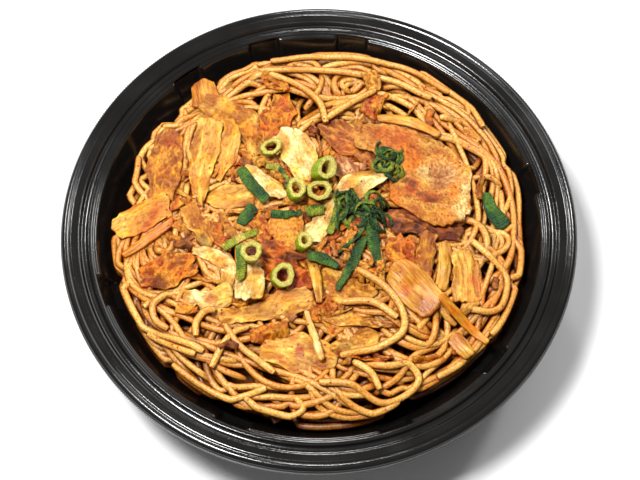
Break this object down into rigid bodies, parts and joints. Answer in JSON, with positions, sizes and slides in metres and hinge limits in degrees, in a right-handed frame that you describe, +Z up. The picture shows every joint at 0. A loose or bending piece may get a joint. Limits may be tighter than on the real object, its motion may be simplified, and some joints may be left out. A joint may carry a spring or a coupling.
{
  "type": "fried noodles in a round tray",
  "caption": "Fried noodles with kimchi cabbage, pork slices and green onion, heaped in a round black takeaway tray with a flat foot.",
  "frame": {"origin": "middle of the tray's foot, on the surface it stands on", "axes": "+Z up, -Y towards the side the picture was taken from, +X to its right"},
  "size_m": [0.205, 0.205, 0.0628],
  "materials": {
    "tray_plastic": "satin black moulded sheet, ribbed skirt round the rim",
    "noodle": "oily wheat noodle, golden tan with orange oil and chilli specks",
    "cabbage_leaf": "cooked cabbage leaf, translucent, veined, yellow orange with red stains",
    "kimchi": "crinkled fermented leaf, orange with dark red flakes",
    "cooked_meat": "browned shredded pork, wet",
    "pork": "boiled pork slice, greyish pink lean, cream fat and orange oil",
    "cabbage_stem": "thick pale cabbage stem, glossy, fine ribs",
    "onion_green": "wilted green onion leaf, deep green, fine ridges, wet",
    "onion_ring": "cut green onion, pale green to cream, layered rings"
  },
  "bodies": {
    "root": {"tray": "tray_plastic", "noodles": "noodle", "cabbage_stub_far": "cabbage_stem", "leaf_bed_far": "cabbage_leaf", "leaf_bed_near": "cabbage_leaf", "kimchi_far": "kimchi", "meat_left": "cooked_meat", "leaf_left_rim": "cabbage_leaf", "rib_left": "cabbage_stem", "kimchi_left": "kimchi", "leaf_brown_left": "cabbage_leaf", "leaf_vein_left": "cabbage_leaf", "leaf_pointed": "cabbage_leaf", "leaf_pointed_small": "cabbage_leaf", "meat_far": "cooked_meat", "stem_far": "cabbage_stem", "pork_far": "pork", "pork_fat_left": "pork", "meat_middle": "cooked_meat", "meat_under_pork": "cooked_meat", "pork_large": "pork", "rib_far_right": "cabbage_stem", "pork_diagonal": "pork", "pork_crumbly": "pork", "meat_shreds": "cooked_meat", "kimchi_red": "kimchi", "leaf_cream_bent": "cabbage_leaf", "leaf_cream_low": "cabbage_leaf", "leaf_wide_near": "cabbage_leaf", "stem_cream": "cabbage_stem", "leaf_wedge": "cabbage_leaf", "leaf_stained_near": "cabbage_leaf", "leaf_brown_near": "cabbage_leaf", "leaf_twisted_near": "cabbage_leaf", "strip_near": "cabbage_leaf", "kimchi_right": "kimchi", "leaf_fine_right": "cabbage_leaf", "stem_strip_right": "cabbage_stem", "leaf_square_right": "cabbage_leaf", "stem_round_right": "cabbage_stem", "strip_orange_near": "cabbage_leaf", "stem_pink_near": "cabbage_stem", "green_light_middle": "onion_green", "green_tuft_middle": "onion_green", "green_curl_far": "onion_green", "green_blade_middle": "onion_green", "green_blade_long": "onion_green", "green_blade_short": "onion_green", "green_blade_left": "onion_green", "green_patch_left": "onion_green", "green_blade_right": "onion_green", "onion_stick": "onion_green", "onion_strip": "onion_green", "onion_ring_far": "onion_ring", "onion_roll": "onion_ring", "onion_ring_middle": "onion_ring", "onion_half": "onion_ring", "onion_ring_low": "onion_ring", "onion_ring_tall": "onion_ring", "onion_ring_dark": "onion_ring"}
  },
  "joints": []
}
